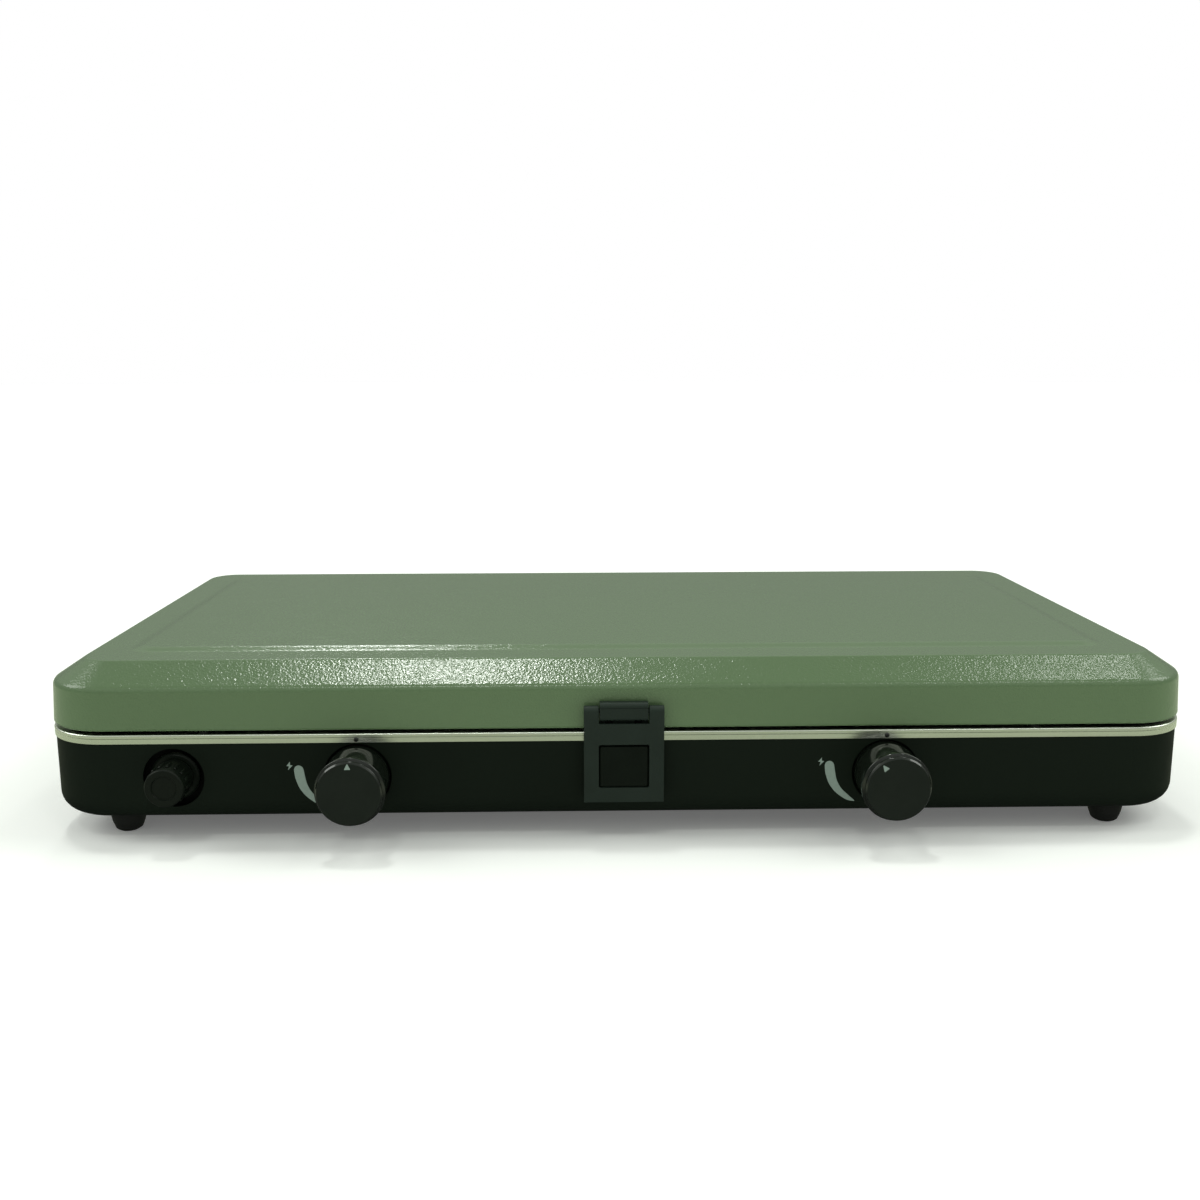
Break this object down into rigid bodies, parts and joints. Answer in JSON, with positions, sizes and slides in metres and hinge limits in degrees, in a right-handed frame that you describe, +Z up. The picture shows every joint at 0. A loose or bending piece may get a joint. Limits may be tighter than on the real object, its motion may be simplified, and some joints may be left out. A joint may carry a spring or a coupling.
{
  "type": "camping stove",
  "caption": "Folding two-burner gas camping stove, closed: bevelled lid with front latch, stainless rim, black case with two push-and-turn knobs and a capped gas inlet.",
  "frame": {"origin": "centre of the overall footprint, at the height the rubber feet stand on", "axes": "+X along the width, to the right seen from the front; +Y to the back; +Z up"},
  "size_m": [0.56, 0.3124, 0.0882],
  "materials": {
    "case_black": "satin black powder coat",
    "lid_green": "sage green powder coat with orange-peel texture",
    "stainless": "rolled stainless sheet",
    "screw_black": "blackened steel",
    "rubber": "moulded rubber",
    "zinc": "zinc-plated steel",
    "catch_black": "satin black",
    "hinge_black": "black painted steel",
    "latch_charcoal": "charcoal powder coat",
    "pipe_steel": "plated steel tube",
    "brass": "turned brass",
    "cap_black": "moulded black plastic",
    "spring_steel": "spring wire",
    "cast_alloy": "die-cast alloy",
    "enamel_black": "black vitreous enamel",
    "ceramic": "white ceramic insulator",
    "silicone": "silicone lead sleeve",
    "support_wire": "black enamelled wire",
    "knob_black": "black plastic, matt face and glossy sides"
  },
  "bodies": {
    "base": {"base_case": "case_black", "hob_tray": "stainless", "hob_screws": "screw_black", "feet": "rubber", "foot_screws": "zinc", "latch_catch": "catch_black", "catch_screws": "zinc", "left_case_leaf": "hinge_black", "right_case_leaf": "hinge_black", "hinge_pins": "zinc", "case_hinge_rivets": "zinc", "rim_buffers": "rubber", "gas_rail": "pipe_steel", "rail_clips": "zinc", "clip_screws": "zinc", "inlet_fitting": "brass", "inlet_bracket": "zinc", "inlet_bracket_screws": "zinc", "inlet_nut": "zinc", "inlet_collar": "cap_black", "burner_screws": "zinc", "left_valve_bracket": "zinc", "left_valve_screws": "zinc", "left_valve": "brass", "left_injector": "brass", "left_knob_spring": "spring_steel", "left_burner_body": "cast_alloy", "left_burner_crown": "cast_alloy", "left_burner_cap": "enamel_black", "left_electrode": "ceramic", "left_igniter": "cap_black", "left_spark_lead": "silicone", "left_pan_support": "support_wire", "right_valve_bracket": "zinc", "right_valve_screws": "zinc", "right_valve": "brass", "right_injector": "brass", "right_knob_spring": "spring_steel", "right_burner_body": "cast_alloy", "right_burner_crown": "cast_alloy", "right_burner_cap": "enamel_black", "right_electrode": "ceramic", "right_igniter": "cap_black", "right_spark_lead": "silicone", "right_pan_support": "support_wire"},
    "lid": {"lid_shell": "lid_green", "latch_bracket": "latch_charcoal", "latch_rivets": "zinc", "latch_pin": "zinc", "left_lid_leaf": "hinge_black", "right_lid_leaf": "hinge_black", "lid_hinge_rivets": "zinc"},
    "latch": {"latch_plate": "latch_charcoal"},
    "left_push": {"left_plunger": "brass"},
    "left_turn": {"left_knob": "knob_black", "left_stem": "zinc"},
    "right_push": {"right_plunger": "brass"},
    "right_turn": {"right_knob": "knob_black", "right_stem": "zinc"},
    "dust_cap": {"inlet_cap": "cap_black"}
  },
  "joints": [
    {"name": "lid_hinge", "type": "hinge", "parent": "base", "child": "lid", "pos_m": [0, 0.15375, 0.055], "axis": [-1, 0, 0], "range_deg": [0, 105]},
    {"name": "latch_hinge", "type": "hinge", "parent": "lid", "child": "latch", "pos_m": [0.0004, -0.13345, 0.0652], "axis": [-1, 0, 0], "range_deg": [0, 165]},
    {"name": "left_knob_push", "type": "slide", "parent": "base", "child": "left_push", "axis": [0, 1, 0], "range_m": [0, 0.0035], "stiffness_N_per_m": 600, "springref_m": -0.003, "deforming": ["left_knob_spring"]},
    {"name": "left_knob_turn", "type": "hinge", "parent": "left_push", "child": "left_turn", "pos_m": [-0.1273, -0.13575, 0.0327], "axis": [0, -1, 0], "range_deg": [0, 140]},
    {"name": "right_knob_push", "type": "slide", "parent": "base", "child": "right_push", "axis": [0, 1, 0], "range_m": [0, 0.0035], "stiffness_N_per_m": 600, "springref_m": -0.003, "deforming": ["right_knob_spring"]},
    {"name": "right_knob_turn", "type": "hinge", "parent": "right_push", "child": "right_turn", "pos_m": [0.1273, -0.13575, 0.0327], "axis": [0, -1, 0], "range_deg": [-32.5, 107.5]},
    {"name": "inlet_cap_pull", "type": "slide", "parent": "base", "child": "dust_cap", "axis": [0, -1, 0], "range_m": [0, 0.03]}
  ]
}
